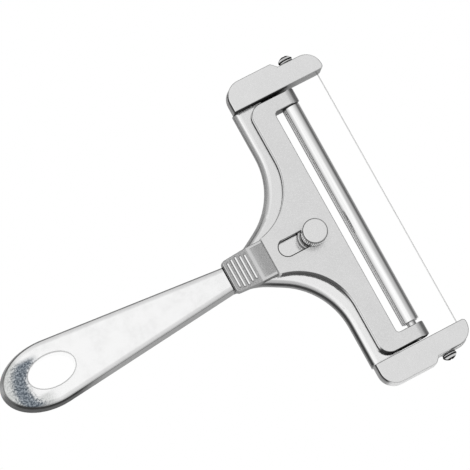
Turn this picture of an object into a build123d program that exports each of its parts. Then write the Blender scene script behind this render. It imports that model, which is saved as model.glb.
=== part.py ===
from build123d import *
import os
from math import acos, asin, atan2, cos, degrees, pi, radians, sin, sqrt, tan

# An adjustable wire cheese slicer, in millimetres. The handle points to -X and the cutting
# wire is at the +X end. The back of the tool lies flat on z = 0 and the thumb screw points
# to +Z. Left is +Y, as the hand that holds the tool sees it.
os.makedirs("parts", exist_ok=True)

# Whole tool
handle_length = 115.8
collar_length = 21.15
fork_length = 64.85
overall_length = handle_length + collar_length + fork_length
tail_x = -overall_length / 2
tip_x = overall_length / 2
wall_draft = 3.0
overrun = 2.0
slide_gap = 0.1
running_gap = 0.05
seat_gap = 0.02
run_used_share = 0.98
deck_run_used_share = 0.8

# Handle: a straight taper that ends in half an ellipse, with an oval hole to hang it by
handle_height = 9.0
handle_draft = 8.0
handle_end_length = 23.4
handle_half_width = 15.65
handle_root_half_width = 6.7
handle_top_round = 0.7
handle_bottom_round = 1.5
hole_length = 23.0
hole_width = 14.6
hole_setback = 24.9
hole_round = 0.6

# Neck: a low cap with grip ribs and a sunk bare panel, over the root of the handle
collar_height = 4.4
collar_rear_half_width = 8.1
collar_front_half_width = 8.95
collar_flare_setback = 8.05
collar_corner_radius = 2.0
collar_edge_round = 0.35
collar_rear_x = tail_x + handle_length
collar_front_x = collar_rear_x + collar_length
joint_groove_width = 0.7
joint_groove_depth = 1.2
rib_setback = 2.5
rib_pitch = 2.18
rib_width = 1.5
rib_height = 0.8
rib_longest_half = 7.5
rib_length_shares = [0.86, 0.97, 1.0, 0.9, 0.86]
rib_crown_share = 0.9
panel_length = 6.65
panel_half_width = 7.45
panel_depth = 0.45

# Fork: two curved arms, one each side, that carry the heads
deck_height = 6.0
deck_front_setback = 32.3
arm_width = 14.65
arm_bay_radius = 35.4
arm_bay_corner_y = 24.2
neck_flare_setback = 10.35
neck_flare_half_width = 8.2
neck_flare_radius = 30.0
arm_top_round = 3.0
arm_bottom_round = 1.0
deck_front_x = tip_x - deck_front_setback
arm_rear_x = deck_front_x - arm_width

# Heads: the thick ends of the arms, each with a narrower tip that holds the wire
head_height = 12.0
head_draft = 1.0
throat_half_width = 65.65
head_width = 12.95
head_rear_corner = 8.0
head_shoulder_setback = 21.55
head_shoulder_round = 1.2
head_bottom_round = 4.5
head_top_round = 0.4
tip_width = 10.25
tip_outer_corner = 8.0
tip_inner_corner = 1.6
tip_bottom_round = 3.0
head_outer_y = throat_half_width + head_width
head_shoulder_x = tip_x - head_shoulder_setback
tip_outer_y = throat_half_width + tip_width

# Cutting wire and the screws that hold its ends
wire_diameter = 0.5
wire_setback = 2.75
wire_z = 5.0
wire_loop_radius = 1.75
wire_bend_radius = 1.0
wire_loop_turn = 270.0
wire_bed_gap = 0.17
spot_face_depth = 0.15
spot_face_margin = 0.3
wire_x = tip_x - wire_setback
wire_screw_setback = 13.5
wire_screw_x = tip_x - wire_screw_setback
wire_screw_z = wire_z + wire_loop_radius
wire_screw_radius = 1.45
wire_screw_length = 9.0
wire_screw_head_radius = 3.4
wire_screw_head_height = 2.4
wire_screw_rim = 0.5
wire_screw_point = 0.5
wire_screw_hole_spare = 0.5
cross_width = 0.9
cross_length = 3.6
cross_depth = 1.3
wire_washer_radius = 3.2
wire_washer_thickness = 0.8

# Clamp screw and its boss
boss_setback = 10.0
boss_radius = 6.9
boss_height = 2.0
boss_round = 0.25
screw_x = deck_front_x - boss_setback
stud_radius = 2.0
stud_tip_setback = 1.0
stud_point = 0.5
stud_in_knob = 4.0
clamp_washer_radius = 5.6
clamp_washer_thickness = 0.55
knob_radius = 5.86
knob_height = 6.5
knob_tooth_count = 38
knob_tooth_depth = 0.3
knob_chamfer = 0.4
knob_cap_inset = 0.16
knob_cap_thickness = 1.2
knob_cap_round = 0.3

# Roller, its bushes and axle. The slice is thickest with the carriage at rest.
slice_thickness = 14.2
roller_radius = 4.4
roller_wall = 0.9
roller_near_gap = 0.3
roller_far_gap = 1.9
roller_edge_round = 0.4
bush_length = 8.0
axle_radius = 2.25
axle_end_setback = 0.4
axle_chamfer = 0.3
roller_x = wire_x - wire_diameter / 2 - slice_thickness - roller_radius

# Carriage: the hollow plate that carries the roller and slides to set the slice
travel = 12.5
carriage_height = 4.4
carriage_wall = 2.0
carriage_top_thickness = 2.4
carriage_rear_gap = 0.1
carriage_rear_half_width = 9.37
carriage_arm_width = 10.35
carriage_bay_radius = 29.1
carriage_bay_corner_y = 14.45
carriage_corner_radius = 5.8
carriage_roller_gap = 4.4
carriage_edge_round = 0.45
guide_rib_thickness = 2.0
guide_play = 0.15
slot_half_width = 4.05
slot_rear_play = 0.85
slot_front_play = 0.3
slot_edge_round = 0.3
finger_gap = 1.15
finger_width = 6.9
finger_root_fillet = 1.6
finger_tip_corner = 1.2
finger_nose_radius = 5.0
finger_rear_gap = 0.4
carriage_rear_x = collar_front_x + carriage_rear_gap
carriage_front_x = roller_x - roller_radius - carriage_roller_gap
carriage_arm_rear_x = carriage_front_x - carriage_arm_width
finger_outer_y = throat_half_width - finger_gap
finger_inner_y = finger_outer_y - finger_width

# Heights and places that follow from the sizes above
collar_top_z = deck_height + collar_height
carriage_base_z = deck_height + slide_gap
carriage_top_z = carriage_base_z + carriage_height
roller_z = carriage_top_z - finger_nose_radius
finger_end_x = roller_x + finger_nose_radius
roller_left_y = finger_inner_y - roller_near_gap
roller_right_y = roller_far_gap - finger_inner_y
clamp_washer_z = carriage_top_z + slide_gap
knob_base_z = clamp_washer_z + clamp_washer_thickness + slide_gap
spot_face_y = tip_outer_y - spot_face_depth
wire_loop_y = spot_face_y + wire_diameter / 2 + seat_gap
wire_washer_y = wire_loop_y + wire_diameter / 2 + seat_gap
wire_screw_y = wire_washer_y + wire_washer_thickness + seat_gap


def side_outline(points, radii, used_share=run_used_share):
    # A closed outline from its corners, counterclockwise. Where two corner arcs would meet on
    # a short run, their radii are drawn in so that they share it.
    corners = [Vector(*point) for point in points]
    runs = [corners[index] - corners[index - 1] for index in range(len(corners))]
    runs.append(runs[0])
    reaches = []
    for index, radius in enumerate(radii):
        turn = runs[index].get_angle(runs[index + 1])
        reaches.append(radius * tan(radians(turn / 2)))
    shares = []
    for index, reach in enumerate(reaches):
        needed = max(reaches[index - 1] + reach, seat_gap)
        shares.append(min(1, used_share * runs[index].length / needed))
    shares.append(shares[0])
    fitted = [r * min(shares[index : index + 2]) for index, r in enumerate(radii)]
    return make_face(FilletPolyline(*points, radius=fitted, close=True))


def outline_of(points, radii, used_share=run_used_share):
    # A closed outline from the points of its +Y half, rear to front, and their corner radii.
    near = [(x, -y) for x, y in points]
    return side_outline([*near, *reversed(points)], [*radii, *reversed(radii)], used_share)


def edges_level(solid, height):
    # The edges of a solid that lie flat at one height.
    return solid.edges().filter_by_position(Axis.Z, height - seat_gap, height + seat_gap)


def both_sides(shape):
    return shape + mirror(shape, about=Plane.XZ)


def block(low, high):
    # A box between two opposite corners.
    size = [b - a for a, b in zip(low, high)]
    centre = [(a + b) / 2 for a, b in zip(low, high)]
    return Pos(*centre) * Box(*size)


def rod_y(radius, low_y, high_y, x, z):
    # A round bar along Y between two stations.
    return Pos(x, (low_y + high_y) / 2, z) * Rot(90, 0, 0) * Cylinder(radius, high_y - low_y)


def handle():
    # The straight sides leave the elliptical end where they touch it.
    end_x = tail_x + handle_end_length
    root_x = collar_rear_x + collar_corner_radius
    reach_share = (root_x - end_x) / handle_end_length
    root_share = handle_root_half_width / handle_half_width
    lean = asin(1 / sqrt(reach_share**2 + root_share**2)) - atan2(root_share, reach_share)
    sweep_angle = 180 + 2 * degrees(lean)
    end_arc = EllipticalCenterArc(
        (end_x, 0), handle_end_length, handle_half_width,
        start_angle=270 - sweep_angle / 2 - 90, arc_size=sweep_angle,
    )
    upper = Line((root_x, handle_root_half_width), end_arc @ 0)
    lower = Line(end_arc @ 1, (root_x, -handle_root_half_width))
    outline = make_face(Curve() + [upper, end_arc, lower, Line(lower @ 1, upper @ 0)])
    body = extrude(outline, amount=handle_height, taper=handle_draft)
    root_wall = root_x - seat_gap
    top = edges_level(body, handle_height).filter_by_position(Axis.X, tail_x, root_wall)
    body = fillet(top, handle_top_round)
    bottom = edges_level(body, 0).filter_by_position(Axis.X, tail_x - seat_gap, root_wall)
    body = fillet(bottom, handle_bottom_round)
    eye = Pos(tail_x + hole_setback, 0, -overrun) * extrude(
        Ellipse(hole_length / 2, hole_width / 2), amount=handle_height + 2 * overrun
    )
    body = body - eye
    rim = body.edges().filter_by(lambda edge: edge.is_closed)
    return fillet(rim, hole_round)


def collar():
    # The cap over the root of the handle, with its ribs, its panel and the groove behind it.
    points = [
        (collar_rear_x, collar_rear_half_width),
        (collar_front_x - collar_flare_setback, collar_front_half_width),
        (collar_front_x, collar_front_half_width),
    ]
    outline = outline_of(points, [collar_corner_radius, 0, 0])
    base = extrude(outline, amount=collar_height, taper=wall_draft)
    cap = Pos(0, 0, deck_height) * base
    cap = fillet(edges_level(cap, collar_top_z), collar_edge_round)
    cap = cap - block(
        (collar_front_x - panel_length, -panel_half_width, collar_top_z - panel_depth),
        (collar_front_x + overrun, panel_half_width, collar_top_z + overrun),
    )
    return cap


def grip_ribs():
    # Round-topped bars across the cap, shorter where the cap narrows and at its front.
    ribs = []
    for index, share in enumerate(rib_length_shares):
        bar = SlotOverall(2 * rib_longest_half * share, rib_width, rotation=90)
        rib_x = collar_rear_x + rib_setback + index * rib_pitch
        place = Pos(rib_x, 0, collar_top_z - rib_height)
        solid = place * extrude(bar, amount=2 * rib_height)
        crown = edges_level(solid, collar_top_z + rib_height)
        ribs.append(fillet(crown, rib_height * rib_crown_share))
    return ribs


def fork_deck():
    # One flat casting in plan: the neck, both arms and the bridge between them.
    points = [
        (collar_rear_x, handle_root_half_width),
        (collar_front_x - neck_flare_setback, neck_flare_half_width),
        (arm_rear_x, arm_bay_corner_y),
        (arm_rear_x, throat_half_width + head_top_round),
        (deck_front_x, throat_half_width + head_top_round),
    ]
    radii = [0, neck_flare_radius, arm_bay_radius, 0, 0]
    outline = outline_of(points, radii, deck_run_used_share)
    deck = extrude(outline, amount=deck_height, taper=wall_draft)
    rear_limit = arm_rear_x + deck_height
    top = edges_level(deck, deck_height).filter_by_position(Axis.X, collar_rear_x, rear_limit)
    top = top.filter_by(lambda edge: edge.length > arm_bay_corner_y / 2)
    deck = fillet(top, arm_top_round)
    bottom = edges_level(deck, 0).filter_by(lambda edge: edge.length > arm_top_round)
    bottom = bottom.filter_by_position(Axis.X, collar_rear_x, rear_limit)
    return fillet(bottom, arm_bottom_round)


def head():
    # The +Y head: a thick block whose front corner is cut back to a narrower tip.
    shoulder = head_outer_y - tip_outer_y
    thick_points = [
        (arm_rear_x, throat_half_width),
        (head_shoulder_x + shoulder, throat_half_width),
        (head_shoulder_x + shoulder, tip_outer_y),
        (head_shoulder_x, head_outer_y),
        (arm_rear_x, head_outer_y),
    ]
    radii = [0, 0, 0, head_shoulder_round, head_rear_corner]
    thick = side_outline(thick_points, radii)
    thick = extrude(thick, amount=head_height, taper=head_draft)
    outer = edges_level(thick, 0).filter_by_position(
        Axis.Y, throat_half_width + tip_inner_corner, head_outer_y + overrun
    )
    shoulder_mid_x = head_shoulder_x + shoulder / 2
    outer = outer.filter_by_position(Axis.X, arm_rear_x - overrun, shoulder_mid_x + seat_gap)
    thick = fillet(outer, head_bottom_round)
    root_x = arm_rear_x + head_rear_corner
    tip_points = [
        (root_x, throat_half_width),
        (tip_x, throat_half_width),
        (tip_x, tip_outer_y),
        (root_x, tip_outer_y),
    ]
    narrow = side_outline(tip_points, [0, 0, tip_outer_corner, 0])
    narrow = extrude(narrow, amount=head_height, taper=head_draft)
    outer = edges_level(narrow, 0).filter_by_position(
        Axis.Y, throat_half_width + tip_inner_corner, tip_outer_y + overrun
    )
    outer = outer.filter_by_position(Axis.X, root_x + tip_inner_corner, tip_x + overrun)
    narrow = fillet(outer, tip_bottom_round)
    inner = narrow.edges().filter_by(lambda edge: edge.length > head_height / 2)
    inner = inner.sort_by_distance((tip_x, throat_half_width, head_height / 2))[0]
    narrow = fillet([inner], tip_inner_corner)
    both = thick + narrow
    return fillet(edges_level(both, head_height), head_top_round)


def wire_tube(radius, with_loop):
    # Half of the wire's route as a round tube: straight from the middle, round the corner of
    # the tip, back along its outer wall and, if asked, three quarters round the screw.
    corner_x = tip_x - tip_outer_corner
    corner_y = tip_outer_y - tip_outer_corner
    corner_radius = wire_loop_y - corner_y
    reach = corner_radius - wire_bend_radius
    turn = acos((wire_x - wire_bend_radius - corner_x) / reach)
    bend_y = corner_y + reach * sin(turn)
    straight = Line((wire_x, 0), (wire_x, bend_y))
    bend = CenterArc((wire_x - wire_bend_radius, bend_y), wire_bend_radius, 0, degrees(turn))
    round_tip = CenterArc((corner_x, corner_y), corner_radius, degrees(turn), 90 - degrees(turn))
    back = Line((corner_x, wire_loop_y), (wire_screw_x, wire_loop_y))
    route = [Pos(0, 0, wire_z) * run for run in (straight, bend, round_tip, back)]
    if with_loop:
        loop_plane = Plane(
            (wire_screw_x, wire_loop_y, wire_screw_z), x_dir=(0, 0, -1), z_dir=(0, 1, 0)
        )
        route.append(loop_plane * CenterArc((0, 0), wire_loop_radius, 0, wire_loop_turn))
    path = Wire([run.edge() for run in route])
    section = Plane((wire_x, 0, wire_z), z_dir=(0, 1, 0)) * Circle(radius)
    return sweep(section, path=path)


def frame_casting():
    # Handle, neck, fork and heads in one piece of aluminium.
    casting = handle() + fork_deck() + collar()
    for rib in grip_ribs():
        casting = casting + rib
    groove = block(
        (collar_rear_x - joint_groove_width, -handle_half_width, handle_height - joint_groove_depth),
        (collar_rear_x, handle_half_width, handle_height + overrun),
    )
    casting = casting - groove + both_sides(head())
    boss = Pos(screw_x, 0, deck_height + boss_height / 2) * Cylinder(boss_radius, boss_height)
    casting = casting + fillet(edges_level(boss, deck_height + boss_height), boss_round)
    casting = casting - Pos(screw_x, 0, 0) * Cylinder(stud_radius + running_gap, 2 * head_height)
    hole_end_y = wire_screw_y - wire_screw_length - wire_screw_hole_spare
    outside_y = head_outer_y + overrun
    screw_hole = rod_y(
        wire_screw_radius + running_gap, hole_end_y, outside_y, wire_screw_x, wire_screw_z
    )
    spot_face = rod_y(
        wire_washer_radius + spot_face_margin, spot_face_y, outside_y, wire_screw_x, wire_screw_z
    )
    cuts = screw_hole + spot_face + wire_tube(wire_diameter / 2 + wire_bed_gap, False)
    return casting - both_sides(cuts)


def carriage_plate():
    # A hollow plate: it slides on the fork, and its two fingers hold the roller's axle.
    points = [
        (carriage_rear_x, carriage_rear_half_width),
        (carriage_arm_rear_x, carriage_bay_corner_y),
        (carriage_arm_rear_x, finger_outer_y),
        (finger_end_x, finger_outer_y),
        (finger_end_x, finger_inner_y),
        (carriage_front_x, finger_inner_y),
    ]
    radii = [
        0,
        carriage_bay_radius,
        carriage_corner_radius,
        finger_tip_corner,
        finger_tip_corner,
        finger_root_fillet,
    ]
    outline = outline_of(points, radii)
    plate = Pos(0, 0, carriage_base_z) * extrude(outline, amount=carriage_height)
    plate = fillet(edges_level(plate, carriage_top_z), carriage_edge_round)

    slot_rear_centre = screw_x - travel - slot_rear_play
    slot_front_centre = screw_x + slot_front_play
    slot = SlotCenterToCenter(slot_front_centre - slot_rear_centre, 2 * slot_half_width)
    slot_middle = (slot_front_centre + slot_rear_centre) / 2
    plate = plate - Pos(slot_middle, 0, 0) * extrude(slot, amount=carriage_top_z + overrun)
    rim = edges_level(plate, carriage_top_z).filter_by_position(
        Axis.Y, -slot_half_width - seat_gap, slot_half_width + seat_gap
    )
    slot_rear_x = slot_rear_centre - slot_half_width
    rim = rim.filter_by_position(Axis.X, slot_rear_x - seat_gap, carriage_front_x - carriage_wall)
    plate = fillet(rim, slot_edge_round)

    inside = offset(outline, amount=-carriage_wall)
    channel_half = boss_radius + guide_play
    rib_outer = channel_half + guide_rib_thickness
    front_x = carriage_front_x - carriage_wall
    inside = inside & (
        Pos((tail_x + front_x) / 2, 0) * Rectangle(front_x - tail_x, 2 * finger_inner_y)
    )
    for side in (-1, 1):
        rib_y = side * (channel_half + rib_outer) / 2
        inside = inside - Pos(0, rib_y) * Rectangle(overall_length, guide_rib_thickness)
    hollow_height = carriage_height - carriage_top_thickness
    plate = plate - Pos(0, 0, carriage_base_z - overrun) * extrude(
        inside, amount=hollow_height + overrun
    )

    eye_rear_x = deck_front_x + finger_rear_gap
    eye_points = [
        (eye_rear_x, finger_inner_y),
        (finger_end_x, finger_inner_y),
        (finger_end_x, finger_outer_y),
        (eye_rear_x, finger_outer_y),
    ]
    eye = side_outline(eye_points, [0, finger_tip_corner, finger_tip_corner, 0])
    eye_base_z = roller_z - finger_nose_radius
    eye = Pos(0, 0, eye_base_z) * extrude(eye, amount=carriage_base_z - eye_base_z)
    plate = plate + both_sides(eye)

    beyond_nose = block(
        (roller_x, -head_outer_y, eye_base_z - overrun),
        (finger_end_x + overrun, head_outer_y, carriage_top_z + overrun),
    )
    nose = rod_y(finger_nose_radius, -head_outer_y, head_outer_y, roller_x, roller_z)
    axle_hole = rod_y(axle_radius + seat_gap, -head_outer_y, head_outer_y, roller_x, roller_z)
    return plate - (beyond_nose - nose) - axle_hole


def roller_tube():
    tube = rod_y(roller_radius, roller_right_y, roller_left_y, roller_x, roller_z)
    tube = fillet(tube.edges().filter_by(GeomType.CIRCLE), roller_edge_round)
    bore = roller_radius - roller_wall
    return tube - rod_y(bore, -head_outer_y, head_outer_y, roller_x, roller_z)


def roller_bush(end_y, inward):
    # A plain sleeve pressed into one end of the tube, flush with it.
    low_y, high_y = sorted([end_y, end_y + inward * bush_length])
    outer = roller_radius - roller_wall - seat_gap
    sleeve = rod_y(outer, low_y, high_y, roller_x, roller_z)
    return sleeve - rod_y(axle_radius + running_gap, low_y, high_y, roller_x, roller_z)


def roller_axle():
    end_y = finger_outer_y - axle_end_setback
    axle = rod_y(axle_radius, -end_y, end_y, roller_x, roller_z)
    return chamfer(axle.edges().filter_by(GeomType.CIRCLE), axle_chamfer)


def thumb_knob():
    # A straight-toothed grip under a smooth flat cap, with a blind bore for the stud.
    ring = []
    for step in range(2 * knob_tooth_count):
        radius = knob_radius - knob_tooth_depth * (step % 2)
        angle = pi * step / knob_tooth_count
        ring.append((radius * cos(angle), radius * sin(angle)))
    grip_height = knob_height - knob_cap_thickness
    grip = extrude(make_face(Polyline(*ring, close=True)), amount=grip_height)
    turned = Pos(0, 0, grip_height / 2) * Cylinder(knob_radius, grip_height)
    turned = chamfer(turned.edges().filter_by(GeomType.CIRCLE), knob_chamfer)
    cap = Pos(0, 0, grip_height + knob_cap_thickness / 2)
    cap = cap * Cylinder(knob_radius - knob_cap_inset, knob_cap_thickness)
    cap = fillet(edges_level(cap, knob_height), knob_cap_round)
    bore = Pos(0, 0, stud_in_knob / 2) * Cylinder(stud_radius + seat_gap, stud_in_knob)
    return Pos(screw_x, 0, knob_base_z) * ((grip & turned) + cap - bore)


def clamp_stud():
    top_z = knob_base_z + stud_in_knob - seat_gap
    stud = Pos(screw_x, 0, (stud_tip_setback + top_z) / 2) * Cylinder(stud_radius, top_z - stud_tip_setback)
    return chamfer(edges_level(stud, stud_tip_setback), stud_point)


def clamp_washer():
    middle_z = clamp_washer_z + clamp_washer_thickness / 2
    ring = Cylinder(clamp_washer_radius, clamp_washer_thickness)
    ring = ring - Cylinder(stud_radius + running_gap, clamp_washer_thickness)
    return Pos(screw_x, 0, middle_z) * ring


def wire_screw():
    # Pan-head screw along +Y: a low dome over a short rim, with a cross recess.
    shank = Pos(0, 0, -wire_screw_length / 2) * Cylinder(wire_screw_radius, wire_screw_length)
    shank = chamfer(edges_level(shank, -wire_screw_length), wire_screw_point)
    dome_height = wire_screw_head_height - wire_screw_rim
    dome_radius = (wire_screw_head_radius**2 + dome_height**2) / (2 * dome_height)
    dome = Pos(0, 0, wire_screw_head_height - dome_radius) * Sphere(dome_radius)
    head_blank = Cylinder(wire_screw_head_radius, wire_screw_head_height)
    dome = dome & (Pos(0, 0, wire_screw_head_height / 2) * head_blank)
    for angle in (0, 90):
        slot = Box(cross_length, cross_width, 2 * cross_depth)
        dome = dome - Pos(0, 0, wire_screw_head_height) * Rot(0, 0, angle) * slot
    place = Pos(wire_screw_x, wire_screw_y, wire_screw_z) * Rot(-90, 0, 0)
    return place * (shank + dome)


def wire_washer():
    end_y = wire_washer_y + wire_washer_thickness
    ring = rod_y(wire_washer_radius, wire_washer_y, end_y, wire_screw_x, wire_screw_z)
    bore = wire_screw_radius + running_gap
    return ring - rod_y(bore, wire_washer_y, end_y, wire_screw_x, wire_screw_z)


nodes = {
    "frame_casting": frame_casting(),
    "carriage_plate": carriage_plate(),
    "roller_tube": roller_tube(),
    "roller_bush_right": roller_bush(roller_right_y, 1),
    "roller_bush_left": roller_bush(roller_left_y, -1),
    "roller_axle": roller_axle(),
    "thumb_knob": thumb_knob(),
    "clamp_stud": clamp_stud(),
    "clamp_washer": clamp_washer(),
    "cutting_wire": both_sides(wire_tube(wire_diameter / 2, True)),
    "wire_screw_left": wire_screw(),
    "wire_screw_right": mirror(wire_screw(), about=Plane.XZ),
    "wire_washer_left": wire_washer(),
    "wire_washer_right": mirror(wire_washer(), about=Plane.XZ),
}
for name, shape in nodes.items():
    export_step(shape, f"parts/{name}.step")
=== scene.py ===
from math import cos, pi, radians, sin

import bpy
from mathutils import Matrix, Vector


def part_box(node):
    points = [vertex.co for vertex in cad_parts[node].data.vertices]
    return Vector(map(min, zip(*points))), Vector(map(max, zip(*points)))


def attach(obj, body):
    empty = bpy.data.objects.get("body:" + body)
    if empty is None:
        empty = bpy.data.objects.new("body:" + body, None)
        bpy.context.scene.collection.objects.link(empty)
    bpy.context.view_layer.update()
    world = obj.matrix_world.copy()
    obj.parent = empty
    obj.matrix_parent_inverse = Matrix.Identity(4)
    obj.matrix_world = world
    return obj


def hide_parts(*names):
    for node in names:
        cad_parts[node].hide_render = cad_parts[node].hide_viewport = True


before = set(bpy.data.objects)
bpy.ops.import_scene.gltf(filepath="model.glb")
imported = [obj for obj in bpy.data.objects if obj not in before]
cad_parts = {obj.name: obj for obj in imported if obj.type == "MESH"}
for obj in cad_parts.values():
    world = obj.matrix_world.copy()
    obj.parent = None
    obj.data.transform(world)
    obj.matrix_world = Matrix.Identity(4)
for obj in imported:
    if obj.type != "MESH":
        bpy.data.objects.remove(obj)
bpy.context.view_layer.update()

# The camera: a long lens high over the handle's side of the tool, turned on its axis until
# the wire runs down the right of the picture. All sizes are in millimetres, and MM turns them
# into the metres of the scene.
MM = 0.001
picture_side = 470
lens_pixels = 4400
camera_distance = 1991.0
camera_tilt = radians(14.303)
camera_azimuth = radians(-146.0)
camera_roll = radians(27.827)
origin_pixel = (197.975, 297.267)
sensor_width = 36.0

outward = Vector((cos(camera_azimuth), sin(camera_azimuth), 0))
back = outward * sin(camera_tilt) + Vector((0, 0, cos(camera_tilt)))
upright = Vector((0, 0, sin(camera_tilt))) - outward * cos(camera_tilt)
sideways = upright.cross(back)
right = sideways * cos(camera_roll) + upright * sin(camera_roll)
up = upright * cos(camera_roll) - sideways * sin(camera_roll)
off_axis = [(pixel - picture_side / 2) / lens_pixels for pixel in origin_pixel]
place = (back - right * off_axis[0] + up * off_axis[1]) * camera_distance * MM
lens = bpy.data.cameras.new("camera")
lens.sensor_width = sensor_width
lens.lens = sensor_width * lens_pixels / picture_side
lens.clip_start = 0.1
lens.clip_end = 100
camera = bpy.data.objects.new("camera", lens)
bpy.context.scene.collection.objects.link(camera)
camera.matrix_world = Matrix.Translation(place) @ Matrix((right, up, back)).transposed().to_4x4()
bpy.context.scene.camera = camera


# The casting: handle, neck, fork and heads in one piece of aluminium, cast in a metal mould.
# The flats of the fork and the heads are blasted matt. The handle and the rounded edges are
# polished by hand. The steep sides are painted dark: the dark skin of the mould, with painted
# shade over it.
class Term:
    """What a node gives out. Python's operators on it add the Math nodes for them."""

    def __init__(self, web, socket):
        self.web = web
        self.socket = socket

    def maths(self, operation, *values):
        return self.web.add("ShaderNodeMath", {"operation": operation}, values)

    def __add__(self, other):
        return self.maths("ADD", self, other)

    def __sub__(self, other):
        return self.maths("SUBTRACT", self, other)

    def __rsub__(self, other):
        return self.maths("SUBTRACT", other, self)

    def __mul__(self, other):
        return self.maths("MULTIPLY", self, other)

    def __truediv__(self, other):
        return self.maths("DIVIDE", self, other)

    def __pow__(self, other):
        return self.maths("POWER", self, other)

    def __abs__(self):
        return self.maths("ABSOLUTE", self)

    __radd__ = __add__
    __rmul__ = __mul__

    def rise(self, low, high):
        """0 below low, 1 above high and smooth between, also with low above high."""
        values = (self, low, high, 0.0, 1.0)
        return self.web.add("ShaderNodeMapRange", {"interpolation_type": "SMOOTHSTEP"}, values)

    def between(self, low, high, soft):
        """1 from low to high and 0 outside, with soft sides."""
        return self.rise(low - soft, low + soft) * self.rise(high + soft, high - soft)

    def spread(self):
        """Noise, which keeps to the middle of its range, spread out to 0 and 1."""
        return self.rise(0.3, 0.7)

    def least(self, other):
        return self.maths("MINIMUM", self, other)

    def most(self, *others):
        largest = self
        for other in others:
            largest = largest.maths("MAXIMUM", largest, other)
        return largest


class Web:
    """A tree of nodes, which are added one by one."""

    def __init__(self, tree):
        self.tree = tree

    def add(self, kind, settings, values, output=0):
        """A new node with its settings, then its values by socket number or name."""
        node = self.tree.nodes.new(kind)
        for name, value in settings.items():
            setattr(node, name, value)
        pairs = values.items() if isinstance(values, dict) else enumerate(values)
        for key, value in pairs:
            if isinstance(value, Term):
                self.tree.links.new(value.socket, node.inputs[key])
            else:
                node.inputs[key].default_value = value
        return Term(self, node.outputs[output])

    def split(self, vector):
        node = self.add("ShaderNodeSeparateXYZ", {}, [vector]).socket.node
        return [Term(self, socket) for socket in node.outputs]

    def mix(self, mask, first, second):
        """A colour between two colours, each a Term or a grey or RGB value."""
        def colour(value):
            if isinstance(value, Term):
                return value
            return (value, value, value, 1) if isinstance(value, float) else (*value, 1)
        # A Mix node takes its two colours at 6 and 7, and gives the mixed colour at output 2
        values = {0: mask, 6: colour(first), 7: colour(second)}
        return self.add("ShaderNodeMix", {"data_type": "RGBA"}, values, output=2)

    def blend(self, mask, first, second):
        """A number between two numbers."""
        return self.add("ShaderNodeMix", {"data_type": "FLOAT"}, {0: mask, 2: first, 3: second})

    def curve(self, value, stops):
        """A number that follows another by a list of (input, output) stops, inputs 0 to 1."""
        ramp = self.add("ShaderNodeValToRGB", {}, [value])
        elements = ramp.socket.node.color_ramp.elements
        while len(elements) < len(stops):
            elements.new(0.5)
        for element, (spot, level) in zip(elements, stops):
            element.position = spot
            element.color = (level, level, level, 1)
        return ramp


class Finish(Web):
    """One material. Its places are in millimetres, in the frame of the whole tool."""

    def __init__(self, name, **constants):
        self.material = bpy.data.materials.new(name)
        self.material.use_nodes = True
        super().__init__(self.material.node_tree)
        self.shader = self.tree.nodes["Principled BSDF"]
        for socket, value in constants.items():
            self.shader.inputs[socket.replace("_", " ")].default_value = value
        surface = self.tree.nodes.new("ShaderNodeTexCoord")
        self.place = self.add("ShaderNodeVectorMath", {"operation": "SCALE"},
                              {0: Term(self, surface.outputs["Object"]), "Scale": 1 / MM})
        self.x, self.y, self.z = self.split(self.place)
        self.lean_x, self.lean_y, self.level = self.split(Term(self, surface.outputs["Normal"]))

    def noise(self, size, detail=2.0, stretch=(1, 1, 1), roughness=0.5):
        """Cloudy noise from 0 to 1, with lumps of about the size in millimetres."""
        scaled = self.add("ShaderNodeVectorMath", {"operation": "MULTIPLY"},
                          {0: self.place, 1: [1 / (size * s) for s in stretch]})
        values = {"Vector": scaled, "Scale": 1.0, "Detail": detail, "Roughness": roughness}
        return self.add("ShaderNodeTexNoise", {}, values)

    def blasted(self, grain, clouds, dark, pale):
        """The colour of blasted metal: clouds from dark to pale under bright grains."""
        return self.mix(grain.rise(0.42, 0.72) * 0.5, self.mix(clouds, dark, pale), 0.92)

    def bump(self, height, depth, under=None):
        """Relief of a height from 0 to 1, its depth in millimetres, on another relief."""
        values = {"Strength": 1.0, "Distance": depth * MM, "Height": height}
        if under is not None:
            values["Normal"] = under
        return self.add("ShaderNodeBump", {}, values)

    def feed(self, **links):
        for name, value in links.items():
            self.tree.links.new(value.socket, self.shader.inputs[name.replace("_", " ")])

    def dress(self, *names):
        for name in names:
            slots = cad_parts[name].data.materials
            slots.clear()
            slots.append(self.material)


casting_low, casting_high = [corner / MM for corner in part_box("frame_casting")]
carriage_low, carriage_high = [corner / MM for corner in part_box("carriage_plate")]
collar_rear_x = 14.9
collar_front_x = carriage_low.x
deck_z = 6.0
collar_z = 10.4
handle_z = 9.0
head_z = casting_high.z
head_inner_y = 65.0

cast = Finish("cast_aluminium", Specular_IOR_Level=0.0)
grain = cast.noise(0.45, detail=3)
clouds = cast.noise(8)
lumps = cast.noise(2.2, detail=3)
wall = cast.level.rise(0.86, 0.60)
flat = cast.level.rise(0.9, 0.985)
side_y = abs(cast.y)

# The handle's outline, for the shoulder that the polishing leaves round its top
tail_length = 23.4
tail_top_length = 22.1
tail_top_half = 14.4
root_top_half = 5.5
shoulder_width = 2.1
shoulder_height = 0.4
shoulder_curve = 1.2
tail_start_x = casting_low.x + tail_length
along = (cast.x - tail_start_x) / (collar_rear_x - tail_start_x)
straight_gap = cast.blend(along, tail_top_half, root_top_half) - side_y
behind = (cast.x - tail_start_x).least(0.0) / tail_top_length
across = side_y / tail_top_half
round_gap = (1 - (behind * behind + across * across) ** 0.5) * tail_top_half
rim_gap = cast.blend(cast.x.rise(tail_start_x - 0.1, tail_start_x + 0.1), round_gap, straight_gap)
shoulder = (1 - (rim_gap / shoulder_width).most(0.0).least(1.0)) ** shoulder_curve

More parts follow.
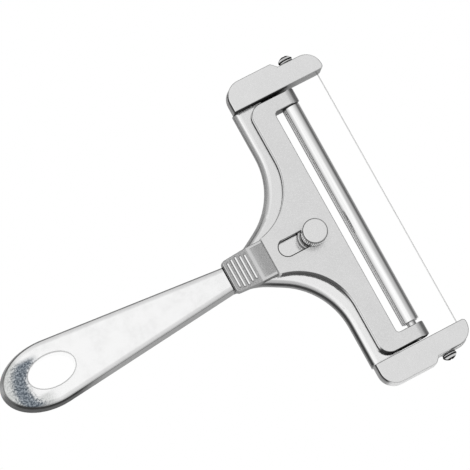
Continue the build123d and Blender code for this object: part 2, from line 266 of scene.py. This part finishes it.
# Where each part of the casting lies. Below in the picture is towards -Y
lower_arm_y = -9
handle_zone = cast.x.rise(collar_rear_x + 0.1, collar_rear_x - 0.1)
head_zone = side_y.rise(head_inner_y - 0.2, head_inner_y - 0.05)
fork_zone = (1 - head_zone) * (1 - handle_zone)
lower_arm = cast.y.rise(lower_arm_y + 3, lower_arm_y - 3)
cap_zone = cast.x.between(collar_rear_x, collar_front_x, 0.1)
cap_zone = cap_zone * cast.z.rise(deck_z + 0.3, deck_z + 0.8)
deck_flat = flat * cast.z.rise(deck_z + 0.3, deck_z + 0.1) * (1 - head_zone)

# The fork and the heads: bright edges round blasted flats
edge = cast.mix(lumps, 0.92, 0.98)
fork = cast.mix(flat, edge, cast.blasted(grain, clouds, 0.76, 0.82))
deck = cast.mix(lower_arm, cast.mix(grain, 0.66, 0.84), cast.mix(grain, 0.76, 0.96))
fork = cast.mix(deck_flat, fork, deck)

# The handle: polished, with a blue-grey speckled patch behind the hole, a painted reflection of
# the dark room on slightly rougher metal, and a darker grey rim round it
polished = cast.mix(lumps.spread(), 0.90, 0.94)
polished = cast.mix(clouds.rise(0.35, 0.65), polished, 0.96)
patch_x, patch_y = -78.7, -3.8
patch_radius = 13.9
patch_half_width = 3.3
patch_softness = 1.8
patch_raggedness = 6
patch_low_y, patch_high_y = -12.5, 9.5
patch_front_x = -81
dull_rim_x = -89.5
dull_side_y = -8
speckle = cast.noise(0.9, roughness=0.6)
patch_reach = ((cast.x - patch_x) ** 2 + (cast.y - patch_y) ** 2) ** 0.5
patch = abs(patch_reach - patch_radius) + (speckle - 0.5) * patch_raggedness
patch = patch.rise(patch_half_width + patch_softness, patch_half_width - patch_softness)
behind_hole = cast.x.rise(patch_front_x + 3, patch_front_x - 3)
patch = patch * cast.y.between(patch_low_y, patch_high_y, 1.5) * behind_hole
dull_side = behind_hole * cast.y.rise(dull_side_y + 1, dull_side_y - 1) * 0.7
dull_tail = cast.x.rise(dull_rim_x + 3.5, dull_rim_x - 3.5).most(dull_side)
dull = cast.mix(speckle.spread(), (0.50, 0.51, 0.50), (0.68, 0.69, 0.68))
polished = cast.mix(dull_tail, polished, dull)
# The blue-grey is a painted reflection of the dark room
painted_blue_reflection = cast.mix(speckle.rise(0.40, 0.62), (0.10, 0.12, 0.145), (0.34, 0.38, 0.42))
polished = cast.mix(patch, polished, painted_blue_reflection)

# The neck's cap: painted highlights on the ribs' crests and rounded edges, on a ground painted
# darker as shade, and a sunk panel at the front
band_rear_x = collar_front_x - 8.3
panel_rear_x = collar_front_x - 6.8
panel_floor_z = collar_z - 0.4
rib_crest = cast.z.rise(collar_z + 0.2, collar_z + 0.45)
front_band = cast.x.rise(band_rear_x - 0.3, band_rear_x + 0.3) * (1 - rib_crest)
cap_edge = cast.level.rise(0.985, 0.93) * (1 - rib_crest)
panel_zone = cast.x.rise(panel_rear_x - 0.1, panel_rear_x + 0.1)
panel_zone = panel_zone * cast.z.between(panel_floor_z - 0.15, panel_floor_z + 0.15, 0.05)
panel = cast.mix(cast.x.rise(panel_rear_x + 0.3, panel_rear_x + 3.3), 0.52, 0.40)
panel = cast.mix(grain.rise(0.45, 0.7) * 0.5, panel, 0.60)
# The ground between the ribs: painted shade. The crests and edges: painted highlights
cap = cast.mix(grain.spread(), 0.30, 0.55)
cap = cast.mix(rib_crest, cap, 0.93)
cap = cast.mix(front_band, cap, cast.mix(grain, 0.55, 0.80))
cap = cast.mix(cap_edge, cap, 0.92)
cap = cast.mix(panel_zone, cap, panel)

# The steep sides: the dark skin of the mould, with painted shade that is darkest on the upright
# walls, on the lower arm and on the handle's side that faces +Y
upright_skin_and_shade = cast.mix(lumps, 0.20, 0.28)
sloping_skin_and_shade = cast.mix(lumps, 0.42, 0.56)
skin_and_shade = cast.mix(cast.level.rise(0.15, 0.5), upright_skin_and_shade, sloping_skin_and_shade)
skin_and_shade = cast.mix(lower_arm, skin_and_shade, cast.mix(lumps, 0.22, 0.34))
handle_skin_and_shade = cast.mix(lumps, 0.26, 0.36)
handle_skin_and_shade = cast.mix(cast.lean_y.rise(0.3, 0.6), handle_skin_and_shade, 0.08)
# The hanging hole: its wall and rounded rim are painted nearly white, the wall matt: painted
# light, as bright as the floor seen through the hole
hole_x = -76.1
hole_half_length = 11.5
hole_half_width = 7.3
hole_rim = 0.7
hole_along = (cast.x - hole_x) / (hole_half_length + hole_rim)
hole_across = cast.y / (hole_half_width + hole_rim)
in_hole = (hole_along ** 2 + hole_across ** 2).rise(1.0, 0.98) * cast.level.rise(0.96, 0.87)
# Painted shade: the steep sides are painted black under the top edge of the lower arm, of the
# heads' rear corners and of the tail, and inside the left head
tail_grey_x, tail_black_x = -50, -72
head_black_x, head_grey_x = 76, 92
lower_tail = cast.x.rise(tail_grey_x, tail_black_x) * cast.y.rise(0, -8)
arm_edge = lower_arm * fork_zone * cast.z.rise(deck_z - 3.6, deck_z - 1.2)
head_edge = head_zone * cast.lean_x.rise(-0.5, -0.8) * cast.z.rise(head_z - 4.5, head_z - 1.5)
tail_edge = lower_tail * cast.z.rise(handle_z - 4.5, handle_z - 2.5)
head_inside = head_zone * cast.lean_y.rise(-0.3, -0.6) * cast.y.rise(0, 10)
head_inside = head_inside * cast.x.rise(head_grey_x, head_black_x)
painted_shade = arm_edge.most(head_edge, tail_edge, lower_tail * 0.8, head_inside)
painted_shade = painted_shade * wall * (1 - in_hole)
painted_shade = painted_shade * cast.x.rise(collar_rear_x - 3, collar_rear_x + 16).most(handle_zone)

top = cast.mix(handle_zone, fork, polished)
top = cast.mix(cap_zone, top, cap)
sides = cast.mix(handle_zone, skin_and_shade, handle_skin_and_shade)
base = cast.mix(wall, top, sides)
# The painted shade, nearly black
base = cast.mix(painted_shade, base, cast.mix(lumps, 0.04, 0.08))
# The hole's wall and rim: painted light
base = cast.mix(in_hole, base, 0.98)
# The fork's sides that face +X, towards the wire, are painted nearly white and matt: painted
# light, which the roller mirrors as a light stripe
front_wall = cast.lean_x.rise(0.4, 0.8) * fork_zone
base = cast.mix(front_wall, base, 0.95)
# The groove at the foot of the collar is painted nearly black: painted shade in the crease
groove_width = 0.8
groove = cast.x.between(collar_rear_x - groove_width, collar_rear_x, 0.05)
groove = groove * cast.z.rise(handle_z - 0.1, handle_z - 0.3)
groove = groove * cast.z.rise(handle_z - 1.6, handle_z - 1.3)
base = cast.mix(groove, base, 0.02)
rough = cast.blend(handle_zone, cast.blend(flat, 0.14, 0.26), 0.13)
rough = cast.blend(deck_flat, rough, 0.1)
rough = cast.blend(patch * handle_zone, rough, 0.3)
# The heads' outer sides are blasted, and painted chalk-white and matt: painted light, brighter
# than the blasted tops. How far a side faces outwards goes from 0 on top to about 76, its
# distance from the middle, when upright
faces_out = cast.lean_y * cast.y
outer_side = head_zone * faces_out.rise(40, 62) * (1 - flat)
base = cast.mix(outer_side, base, cast.mix(grain, 0.88, 0.96))
rough = cast.blend(outer_side, rough, 0.7)
# A painted shadow of the screw's head runs along the top of each outer side, from the
# screw's foot to the tip
line_rear_x, line_front_x = 88, 99
line_slant = 0.06
tip_shadow = (1 - cast.level - (cast.x - line_rear_x) * line_slant).rise(0.02, 0.2)
tip_shadow = tip_shadow * cast.x.between(line_rear_x, line_front_x, 0.8)
tip_shadow = tip_shadow * head_zone * faces_out.rise(10, 25) * cast.z.rise(head_z - 3, head_z - 1)
base = cast.mix(tip_shadow, base, 0.05)
relief = cast.bump(shoulder * handle_zone, -shoulder_height)
relief = cast.bump(grain * flat * (1 - handle_zone), 0.012, relief)
relief = cast.bump(lumps * handle_zone, 0.004, relief)
hole_painted_light = in_hole * cast.level.rise(0.2, 0.5)
dull_wall = wall * (1 - in_hole) * cast.blend(handle_zone, 0.65, 0.5)
shine = 1 - (outer_side * 0.85).most(hole_painted_light, painted_shade, front_wall, dull_wall, tip_shadow)
cast.feed(Base_Color=base, Metallic=shine, Roughness=rough, Normal=relief)
cast.dress("frame_casting")


# The stipple on the neck's sunk panel: small raised dots, cast with the panel and worn bright
# on their crests, so that a wet thumb doesn't slip.
class Pattern(Web):
    """A Geometry Nodes tree with named sizes. What it makes becomes one plain mesh."""

    def __init__(self, name, **sizes):
        super().__init__(bpy.data.node_groups.new(name, "GeometryNodeTree"))
        interface = self.tree.interface
        interface.new_socket("Body", in_out="INPUT", socket_type="NodeSocketGeometry")
        interface.new_socket("Mesh", in_out="OUTPUT", socket_type="NodeSocketGeometry")
        self.settings = {}
        for size, value in sizes.items():
            kind = "NodeSocketInt" if isinstance(value, int) else "NodeSocketFloat"
            socket = interface.new_socket(size, in_out="INPUT", socket_type=kind)
            self.settings[socket.identifier] = value
        source = self.tree.nodes.new("NodeGroupInput")
        self.body = Term(self, source.outputs["Body"])
        self.sizes = [Term(self, source.outputs[size]) for size in sizes]

    def join(self, *parts):
        joined = self.add("GeometryNodeJoinGeometry", {}, [])
        for part in parts:
            self.tree.links.new(part.socket, joined.socket.node.inputs[0])
        return joined

    def piece(self, geometry, material, body=None):
        """The pattern as a finished object, on the mesh of a body where it has one."""
        name = self.tree.name
        whole = self.add("GeometryNodeRealizeInstances", {}, [geometry])
        made = self.add("GeometryNodeSetMaterial", {}, {"Geometry": whole, "Material": material})
        sink = self.tree.nodes.new("NodeGroupOutput")
        self.tree.links.new(made.socket, sink.inputs[0])
        made_piece = bpy.data.objects.new(name, body or bpy.data.meshes.new(name))
        bpy.context.scene.collection.objects.link(made_piece)
        modifier = made_piece.modifiers.new("pattern", "NODES")
        modifier.node_group = self.tree
        for identifier, value in self.settings.items():
            modifier[identifier] = value
        evaluated = made_piece.evaluated_get(bpy.context.evaluated_depsgraph_get())
        mesh = bpy.data.meshes.new_from_object(evaluated)
        made_piece.modifiers.clear()
        made_piece.data = mesh
        return made_piece


stipple_front_x = collar_front_x - 0.7
stipple_rear_x = collar_front_x - 6.0
stipple_z = collar_z - 0.45
stipple = Pattern(
    "panel_stipple", length=(stipple_front_x - stipple_rear_x) * MM, width=13.4 * MM, rows=10,
    columns=24, dot_radius=0.17 * MM, scatter=0.12 * MM, seed=7,
)
length, width, rows, columns, dot_radius, scatter, seed = stipple.sizes
spots = stipple.add("GeometryNodeMeshGrid", {}, [length, width, rows, columns])
middle = ((stipple_front_x + stipple_rear_x) / 2 * MM, 0, stipple_z * MM)
drift = stipple.add(
    "FunctionNodeRandomValue", {"data_type": "FLOAT_VECTOR"},
    {"Min": (-1, -1, 0), "Max": (1, 1, 0), "Seed": seed},
)
drift = stipple.add("ShaderNodeVectorMath", {"operation": "SCALE"}, {0: drift, "Scale": scatter})
drift = stipple.add("ShaderNodeVectorMath", {}, [drift, middle])
spots = stipple.add("GeometryNodeSetPosition", {}, {"Geometry": spots, "Offset": drift})
dot = stipple.add("GeometryNodeMeshIcoSphere", {}, {"Radius": dot_radius, "Subdivisions": 1})
dots = stipple.add("GeometryNodeInstanceOnPoints", {}, {
    "Points": spots, "Instance": dot, "Scale": (1, 1, 0.6),
})
worn = Finish("worn_stipple", Metallic=1.0, Roughness=0.3)
worn.feed(Base_Color=worn.mix(worn.noise(0.5).spread(), 0.34, 0.70))
panel_stipple = stipple.piece(dots, worn.material)
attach(panel_stipple, "frame")


# The carriage plate: a second aluminium casting, finely blasted on top, with painted shade on
# its sides. It lies on the fork and slides along it on a guide rib.
plate = Finish("carriage_aluminium", Specular_IOR_Level=0.0)
plate_grain = plate.noise(0.45, detail=3)
plate_wall = plate.level.rise(0.80, 0.4)
plate_flat = plate.level.rise(0.9, 0.985)
lower_side = plate.lean_y.rise(-0.1, -0.4)
toward_handle = plate.x.rise(carriage_low.x + 1.2, carriage_low.x + 0.8) * (1 - plate_flat)
# A painted contact shadow: the foot of the sides is painted black where it meets the fork
contact_shadow = plate.z.rise(deck_z + 1.8, deck_z + 1.2) * plate_wall * plate.lean_x.rise(0.2, -0.1)
# The sides: grey blasted metal, with painted shade and a painted contact shadow
plate_sides_and_shade = plate.mix(plate_grain, 0.62, 0.80)
plate_sides_and_shade = plate.mix(contact_shadow, plate_sides_and_shade, 0.05)
plate_sides_and_shade = plate.mix(lower_side, plate_sides_and_shade, plate.mix(plate_grain, 0.06, 0.12))
plate_sides_and_shade = plate.mix(plate.lean_x.rise(0.4, 0.8), plate_sides_and_shade, 0.75)
# The fingers' rounded noses are painted dark grey: painted shade
nose_x = 82.5
finger_nose = plate.x.rise(nose_x - 1, nose_x + 1) * plate.level.rise(0.97, 0.8)
# The sides that face -Y are painted nearly black, as painted shade. On that half of the plate,
# and on the left finger, they don't shine either
finger_rear_x, finger_inner_y = 69, 51
left_finger = plate.y.rise(finger_inner_y - 1, finger_inner_y + 1)
left_finger = left_finger * plate.x.rise(finger_rear_x - 1, finger_rear_x + 1)
plate_painted_shade = lower_side * plate_wall * plate.blend(plate.y.rise(-40, -55), 0.75, 1.0)
plate_painted_shade = plate_painted_shade * plate.y.rise(-4, -7).most(left_finger)
# The rounded top edges are bright, and painted darker where they face -Y: painted shade
plate_edge = plate.mix(plate.lean_y.rise(-0.1, -0.3), 0.92, 0.5)
plate_top = plate.blasted(plate_grain, plate.noise(8), 0.71, 0.78)
plate_top = plate.mix(plate_flat, plate_edge, plate_top)

# The rim of the slot is painted dark along its lower side and its rear end: painted shade
slot_rear_x, slot_front_x, slot_half_width = 45.25, 58.9, 4.05
rim_shade_width = 0.5
slot_reach = plate.x - plate.x.most(slot_rear_x).least(slot_front_x)
slot_gap = (slot_reach * slot_reach + plate.y * plate.y) ** 0.5 - slot_half_width
slot_rim_shade = slot_gap.between(-0.1, rim_shade_width, 0.05)
slot_rim_shade = slot_rim_shade * plate.z.rise(carriage_high.z - 0.6, carriage_high.z - 0.4)
slot_rim_shade = slot_rim_shade * plate.y.rise(3.0, 0.0).most(plate.x.rise(slot_rear_x, slot_rear_x - 2))
plate_top = plate.mix(slot_rim_shade, plate_top, 0.10)
plate_base = plate.mix(plate_wall * (1 - slot_rim_shade), plate_top, plate_sides_and_shade)
# The end that faces the handle is painted light and matt: painted light in the gap by the neck
plate_base = plate.mix(toward_handle, plate_base, 0.80)
plate_base = plate.mix(finger_nose, plate_base, 0.30)
plate.feed(
    Base_Color=plate_base,
    Metallic=1 - plate_painted_shade.most(slot_rim_shade * 0.7, toward_handle, contact_shadow * 0.8),
    Roughness=plate.blend(plate_flat, 0.2, 0.26),
    Normal=plate.bump(plate_grain * plate_flat, 0.012),
)
plate.dress("carriage_plate")


# The roller's axle: a ground stainless rod that goes through the roller from one finger of the
# carriage to the other. Its ends stay just inside the fingers' outer sides.
rod = Finish("ground_rod", Metallic=1.0, Roughness=0.15)
rod.feed(Base_Color=rod.mix(rod.noise(0.3, stretch=(1, 8, 1)).spread(), 0.62, 0.86))
rod.dress("roller_axle")


# The roller: a drawn stainless tube, polished along its length. It turns on two white
# plastic bushes, which are pushed into its ends.
tube = Finish("roller_steel", Metallic=1.0, Roughness=0.08)
streaks = tube.noise(1.1, detail=1, stretch=(1, 60, 1))
tube.feed(
    Base_Color=tube.mix(streaks.spread(), 0.84, 0.96),
    Normal=tube.bump(streaks, 0.003),
)
tube.dress("roller_tube")

bush = Finish("bush_plastic", Roughness=0.45)
bush_grain = bush.noise(0.6, stretch=(1, 0.2, 1))
bush.feed(Base_Color=bush.mix(bush_grain, 0.80, 0.90), Normal=bush.bump(bush_grain, 0.01))
bush.dress("roller_bush_left", "roller_bush_right")


# The clamp screw's stud and its loose washer, in stainless steel. The stud goes through the
# carriage's slot into the fork, and the knob presses the washer on the carriage.
clamp = Finish("clamp_steel", Metallic=1.0, Roughness=0.22)
turning = clamp.noise(0.5, stretch=(3, 3, 0.4))
clamp.feed(Base_Color=clamp.mix(turning.spread(), 0.66, 0.86), Normal=clamp.bump(turning, 0.006))
clamp.dress("clamp_stud", "clamp_washer")


# The thumb knob: turned brass under nickel plate, with straight teeth round its grip and a
# smooth satin cap. It is cast on to the stud's head.
knob_low, knob_high = [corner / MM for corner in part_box("thumb_knob")]
knob_middle = (knob_low + knob_high) / 2
knob_radius = (knob_high.x - knob_low.x) / 2
core_radius = knob_radius - 0.35
groove_radius = knob_radius - 0.75
bottom_radius = 2.2
tooth_radius = 0.42
tooth_foot_z = knob_low.z + 0.35
tooth_top_z = knob_high.z - 1.75
knob_profile = [
    (bottom_radius, knob_low.z), (knob_radius - 0.7, knob_low.z), (core_radius, knob_low.z + 0.3),
    (core_radius, tooth_top_z), (groove_radius, tooth_top_z + 0.05),
    (groove_radius, tooth_top_z + 0.4), (knob_radius - 0.1, tooth_top_z + 0.5),
    (knob_radius, tooth_top_z + 0.65), (knob_radius, knob_high.z - 0.55),
    (knob_radius - 0.06, knob_high.z - 0.36), (knob_radius - 0.2, knob_high.z - 0.16),
    (knob_radius - 0.42, knob_high.z - 0.03), (knob_radius - 0.7, knob_high.z),
]


def turned(name, profile, centre_x, centre_y, steps=96):
    """A closed turned body round an upright axis, from its outline of radius and height."""
    points, faces = [], []
    for radius, height in profile:
        for step in range(steps):
            turn = 2 * pi * step / steps
            x = centre_x + radius * cos(turn)
            y = centre_y + radius * sin(turn)
            points.append((x * MM, y * MM, height * MM))
    for ring in range(len(profile) - 1):
        for step in range(steps):
            after = (step + 1) % steps
            lower, upper = ring * steps, (ring + 1) * steps
            faces.append((lower + step, lower + after, upper + after, upper + step))
    faces.append(tuple(reversed(range(steps))))
    faces.append(tuple(range(len(points) - steps, len(points))))
    mesh = bpy.data.meshes.new(name)
    mesh.from_pydata(points, [], faces)
    for face in mesh.polygons:
        face.use_smooth = len(face.vertices) == 4
    return mesh


teeth = Pattern(
    "knob_grip", tooth_count=38, ring_radius=(knob_radius - tooth_radius) * MM,
    tooth_radius=tooth_radius * MM, tooth_height=(tooth_top_z - tooth_foot_z) * MM,
)
tooth_count, ring_radius, tooth_size, tooth_height = teeth.sizes
ring = teeth.add("GeometryNodeMeshCircle", {}, {"Vertices": tooth_count, "Radius": ring_radius})
tooth = teeth.add("GeometryNodeMeshCylinder", {}, {
    "Vertices": 8, "Radius": tooth_size, "Depth": tooth_height,
})
outwards = teeth.add("FunctionNodeAlignRotationToVector", {"axis": "X"},
                     {"Vector": teeth.add("GeometryNodeInputPosition", {}, [])})
row = teeth.add("GeometryNodeInstanceOnPoints", {}, {
    "Points": ring, "Instance": tooth, "Rotation": outwards,
})
middle_z = (tooth_top_z + tooth_foot_z) / 2
row = teeth.add("GeometryNodeTransform", {}, {
    "Geometry": row, "Translation": (knob_middle.x * MM, knob_middle.y * MM, middle_z * MM),
})
nickel = Finish("knob_nickel", Metallic=1.0, Roughness=0.24)
satin = nickel.noise(0.35, detail=3)
# Painted shade: the cap's rounded rim is painted dark, and the groove under the cap and the gaps
# between the teeth nearly black
below_cap = nickel.z.rise(tooth_top_z + 0.6, tooth_top_z + 0.5)
cap_rim_shade = nickel.level.rise(0.97, 0.80) * (1 - below_cap)
groove_shade = nickel.z.between(tooth_top_z + 0.02, tooth_top_z + 0.45, 0.04)
nickel_base = nickel.mix(satin.spread(), 0.74, 0.84)
nickel_base = nickel.mix(cap_rim_shade, nickel_base, 0.28)
nickel_base = nickel.mix(below_cap, nickel_base, 0.96)
nickel_base = nickel.mix(groove_shade, nickel_base, 0.04)
reach = ((nickel.x - knob_middle.x) ** 2 + (nickel.y - knob_middle.y) ** 2) ** 0.5
tooth_gap_shade = below_cap * reach.rise(knob_radius - 0.15, knob_radius - 0.32)
nickel_base = nickel.mix(tooth_gap_shade, nickel_base, 0.05)
nickel.feed(Base_Color=nickel_base, Normal=nickel.bump(satin, 0.006))
body = turned("knob_body", knob_profile, knob_middle.x, knob_middle.y)
knob_grip = teeth.piece(teeth.join(teeth.body, row), nickel.material, body)
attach(knob_grip, "thumb_screw")
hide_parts("thumb_knob")


# The cutting wire: one length of drawn stainless steel, taut between the two heads. Each end is
# looped under the screw on the outer side of its head.
wire = Finish("drawn_wire", Metallic=1.0, Roughness=0.2)
wire.feed(Base_Color=wire.mix(wire.noise(0.3, stretch=(1, 20, 1)), 0.80, 0.98))
wire.dress("cutting_wire")


# The screws that hold the wire's ends, and their washers: bright plated steel that mirrors a
# dark room. So it is painted dark, as a painted reflection of the room, and a painted highlight
# shows as a white band round each screw's crown and another round its foot, on the sides that
# face upwards.
plated = Finish("plated_steel", Roughness=0.06, Specular_IOR_Level=0.0)
crown_band = (0.75, 1.6)
foot_band = (2.3, 2.7)
band_edge = 0.1
left_shift = 0.3
screw_end_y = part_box("wire_screw_left")[1].y / MM
from_end = screw_end_y - abs(plated.y) - plated.y.rise(-1, 1) * left_shift
crown = from_end.between(*crown_band, band_edge) * plated.level.rise(0.15, 0.4)
foot = from_end.between(*foot_band, band_edge) * plated.level.rise(0.3, 0.6)
painted_highlight = crown.most(foot)
highlight_white = plated.mix(plated.noise(0.8).spread(), 0.90, 0.98)
plated.feed(Base_Color=plated.mix(painted_highlight, 0.015, highlight_white), Metallic=painted_highlight * 0.1)
plated.dress("wire_screw_left", "wire_screw_right", "wire_washer_left", "wire_washer_right")


# The studio: a white table under a large soft light that hangs over the tail of the handle,
# in a grey room. The polished metal doesn't mirror the floor. What it mirrors is in the world's
# light: the soft light itself, the room, and a table that dims away from the tool.
floor_side = 3000
floor_drop = 0.05
half = floor_side / 2 * MM
floor_mesh = bpy.data.meshes.new("floor")
floor_mesh.from_pydata(
    [(-half, -half, 0), (half, -half, 0), (half, half, 0), (-half, half, 0)], [], [(0, 1, 2, 3)]
)
floor = bpy.data.objects.new("floor", floor_mesh)
bpy.context.scene.collection.objects.link(floor)
floor.location.z = -floor_drop * MM
floor.visible_glossy = False
pale = Finish(
    "pale_floor", Roughness=0.9, Specular_IOR_Level=0, Base_Color=(0, 0, 0, 1),
    Emission_Color=(1, 1, 1, 1), Emission_Strength=1,
)
floor.data.materials.append(pale.material)

world = bpy.data.worlds.new("studio")
bpy.context.scene.world = world
world.use_nodes = True
sky = Web(world.node_tree)
direction = world.node_tree.nodes.new("ShaderNodeTexCoord").outputs["Generated"]
to_x, to_y, to_z = sky.split(Term(sky, direction))


def lit_by_angle(side, stops):
    """Light by the angle from straight up, in degrees, towards one side and its opposite."""
    lean = side / (side * side + to_z * to_z + 0.0001) ** 0.5
    by_lean = [(sin(radians(angle)) / 2 + 0.5, level) for angle, level in stops]
    return sky.curve(lean * 0.5 + 0.5, by_lean)


overhead_x = lit_by_angle(to_x, [
    (-90, 0.25), (-74, 0.36), (-60, 0.47), (-48, 0.60), (-36, 0.71), (-12, 0.72), (0, 0.69),
    (12, 0.635), (24, 0.48), (37, 0.39), (50, 0.35), (64, 0.17), (80, 0.10), (90, 0.09),
])
overhead_y = lit_by_angle(to_y, [
    (-90, 0.30), (-58, 0.26), (-39, 0.36), (-21, 0.64), (-8, 0.92), (8, 1.0),
    (16, 1.0), (25, 0.92), (38, 0.60), (52, 0.22), (90, 0.08),
])
overhead_strength = 1.5
overhead = overhead_x * overhead_y * overhead_strength
# The room's walls are grey, with a dark door past the wire and another past the left head
doors = to_x.rise(0.78, 0.90).most(to_y.rise(0.78, 0.90))
walls = sky.blend(doors, 0.48, 0.13)
above = overhead.most(walls)
# The mirrored table, from the horizon to straight below, with a shadow on the handle's side
table = sky.curve(to_z * -1, [
    (0, 0.40), (0.2, 0.36), (0.4, 0.5), (0.56, 0.68), (0.75, 0.8), (0.9, 0.95), (1, 1.0),
])
shadow = to_x.rise(-0.36, -0.46) * to_z.rise(-0.64, -0.72)
table = sky.blend(shadow.most(doors * 0.6), table, 0.12)
light = sky.blend(to_z.rise(-0.06, 0.06), table, above)
backdrop = world.node_tree.nodes["Background"]
backdrop.inputs["Color"].default_value = (1, 1, 1, 1)
world.node_tree.links.new(light.socket, backdrop.inputs["Strength"])
bpy.context.scene.view_settings.view_transform = "Standard"
